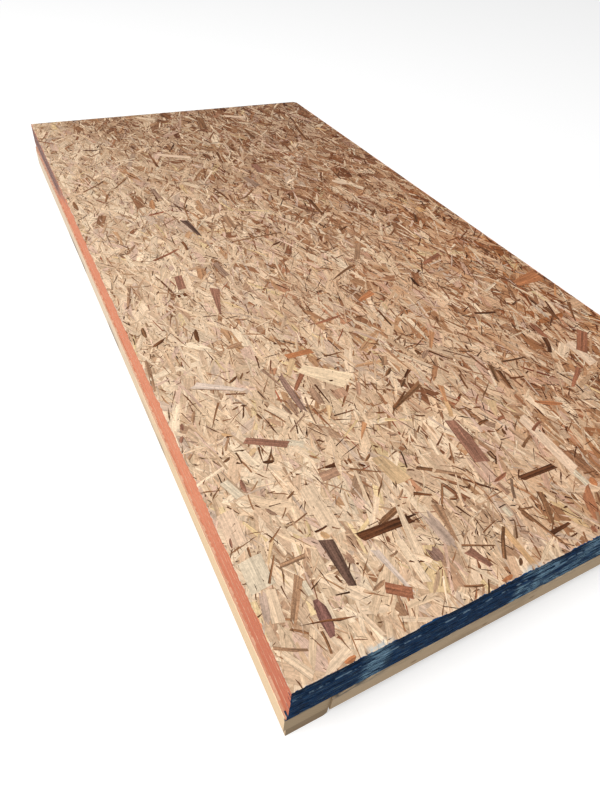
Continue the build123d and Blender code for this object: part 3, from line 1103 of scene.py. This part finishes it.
def landmark_parts():
    """The arrays of the landmark strands, kind by kind."""
    names = [name.split() for name, rows in LANDMARKS.items() for _ in rows]
    kinds = np.array([kind for kind, _ in names])
    colour = np.array([screen(*TONES[tone]) for _, tone in names])
    colour[:, 3] = 0.0
    sizes = np.array([row for rows in LANDMARKS.values() for row in rows], float) * MM
    step = sizes[:, 2:4] - sizes[:, :2]
    count = len(sizes)
    rows = {
        "x": left_x + (sizes[:, 0] + sizes[:, 2]) / 2,
        "y": near_y + (sizes[:, 1] + sizes[:, 3]) / 2,
        "plane": top_high.z - TOP_SKIN,
        "angle": np.arctan2(step[:, 1], step[:, 0]),
        "length": np.hypot(step[:, 0], step[:, 1]),
        "width": sizes[:, 4],
        "height": np.linspace(*LANDMARK_HEIGHTS, count) * MM,
        "tilt": np.zeros(count),
        "roll": np.zeros(count),
        "colour": colour,
        "seed": RANDOM.uniform(0, MAX_SEED, count),
    }
    print(count, "landmark strands")
    return [part for kind in sorted(set(kinds)) for part in strewn([kind], chosen(rows, kinds == kind))]


strand_piece("strands_landmark", landmark_parts(), TOP_SHEET)

# %% Lay strands on the underside
strand_piece("strands_under", (
    layer(["wedge", "leaf"], 1700, "face", (60, 95, 140), (16, 28, 44), (0.20, 0.70),
          sheet=BOTTOM_SHEET, facing=-1)
    + layer(["splinter"], 1600, "stroke", (12, 36, 80), (2, 5, 10), (0.55, 0.90),
            start=0.3, sheet=BOTTOM_SHEET, facing=-1)
), BOTTOM_SHEET)

# %% [markdown]
# The timber base is bare sawn wood. Wood is a solid texture: rings round a pith line that runs
# along the timber. A distance from that line, waved by noise and folded into rings, draws long
# lines on the sides and arcs on the end grain by itself, so one recipe does for both. Grey
# painted shade lies along the lower edge of the left rail in a few stretches, standing in for
# shaded blocks beneath it, and the near cross timber shows some small knots.

# %% Timber finish
EARLY_WOOD = screen(236, 209, 172)
LATE_WOOD = screen(212, 174, 130)
END_WOOD = screen(156, 134, 105)
DULL_WOOD = screen(158, 130, 98)
PALE_WOOD = screen(226, 212, 194)
KNOT_WOOD = screen(128, 88, 58)
GREY_PAINTED_SHADE = screen(120, 114, 112)
OVERSPRAY_AND_SHADE = screen(46, 62, 74)
NEAR_PAINTED_SHADE = (0.68, 0.67, 0.67)
RUNNER_PAINTED_SHADE = (0.72, 0.70, 0.68)
RING_PITCH = 4.2 * MM
PITH_OUT, PITH_SHIFT_OUT = 50 * MM, 40 * MM
PITH_DOWN, PITH_SHIFT_DOWN = 40 * MM, 30 * MM
TIMBER_SEED = 7
SHADED_STRETCHES = ((0.665, 0.80), (1.085, 1.16), (1.52, 1.75))
NEAR_KNOTS = ((0.248, 0.052), (0.412, 0.048), (0.526, 0.060), (0.83, 0.055))


def rings(wood, low, along_y, shift):
    """Growth rings round the timber's own pith line, from 0 in early wood to 1 in late wood."""
    run, side = (wood.y, wood.x) if along_y else (wood.x, wood.y)
    pith_side = (low.x if along_y else low.y) - PITH_OUT + PITH_SHIFT_OUT * shift.x
    pith_height = low.z - PITH_DOWN + PITH_SHIFT_DOWN * shift.y
    from_side = side - pith_side + run * 0.012
    from_height = wood.z - pith_height
    wave = wood.noise((3, 3, 8), detail=2.0) * 0.012
    distance = (from_side * from_side + from_height * from_height).math("SQRT") + wave
    folded = (distance * (2 * math.pi / RING_PITCH)).math("SINE")
    fibres = wood.noise((260, 9, 260) if along_y else (9, 260, 260), detail=4.0)
    return (folded + fibres * 0.8).between(0.5, 1.5), fibres


def painted_shade_stretches(wood):
    """Grey painted shade in stretches along the lower edge of the left rail, standing in for shaded blocks
    beneath it.
    """
    share = 0.0
    for start, end in SHADED_STRETCHES:
        share = (wood.y - near_y).within(start, end, 0.05) + share
    broken_up = wood.noise((10, 9, 34), detail=2.0).between(0.32, 0.60, 0.2, 0.9)
    return share * broken_up * wood.z.between(0.062, 0.036)


def near_knots(wood):
    """Small knots in the face of the near cross timber."""
    share = 0.0
    for across, height in NEAR_KNOTS:
        sideways, upwards = (wood.x - (left_x + across)) * 0.7, wood.z - height
        distance = (sideways * sideways + upwards * upwards).math("SQRT")
        share = distance.between(7 * MM, 2 * MM, 0.0, 0.5) + share
    return share


def overspray_and_shade(wood):
    """Blue spray that drifted onto the near end of the base, mixed with painted shade under the sheets,
    most of it high up and near the corner.
    """
    high_up = wood.z.between(0.070, 0.089)
    by_corner = (wood.x - left_x).between(0.10, 0.22, 0.85, 0.2)
    blotched = wood.noise((40, 40, 160)).between(0.36, 0.6)
    return high_up * by_corner * blotched * (wood.y - near_y).between(4 * MM, 0.0)


def timber_wood(name, node, along_y):
    """Sawn wood with its own pith line, darker on the end grain."""
    low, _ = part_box(node)
    wood = Recipe(name, EARLY_WOOD, roughness=0.82)
    late, fibres = rings(wood, low, along_y, noise.random_vector())
    wood.coat(LATE_WOOD, late * 0.7)
    normal = wood.split(wood.add("NewGeometry", output="Normal"))
    wood.coat(END_WOOD, abs(normal[1] if along_y else normal[0]).between(0.6, 0.9, 0.0, 0.75))
    wood.coat(DULL_WOOD, wood.noise((7, 7, 30), detail=4.0).between(0.52, 0.8, 0.0, 0.4))
    if node == "left_rail":
        wood.coat(PALE_WOOD, (wood.y - near_y).between(0.4, 1.3, 0.0, 0.6))
        # Painted shade: grey stretches along the rail's lower edge, standing in for shaded blocks beneath
        # it
        wood.coat(GREY_PAINTED_SHADE, painted_shade_stretches(wood))
    if node == "near_cross_timber":
        wood.coat(KNOT_WOOD, near_knots(wood))
        # Darkens the near cross timber all over: partly its weathered wood, partly painted shade on the end
        # that faces away from the lamp
        wood.colour = wood.shade(wood.colour, NEAR_PAINTED_SHADE)
    # Grey-blue at the top of the near end: partly drifted spray, partly painted shade under the sheets
    if node in ("left_rail", "near_cross_timber"):
        wood.coat(OVERSPRAY_AND_SHADE, overspray_and_shade(wood))
    if "runner" in node:
        # Painted shade: the runners are darkened all over, as they sit low under the base
        wood.colour = wood.shade(wood.colour, RUNNER_PAINTED_SHADE)
    return wood.finish(fibres, 0.3 * MM)


noise.seed_set(TIMBER_SEED)
for node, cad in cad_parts.items():
    if node in SHEETS:
        continue
    cad.data.materials.clear()
    cad.data.materials.append(timber_wood("sawn " + node.replace("_", " "), node, "cross" not in node))
print("timbers:", [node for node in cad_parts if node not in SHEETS])
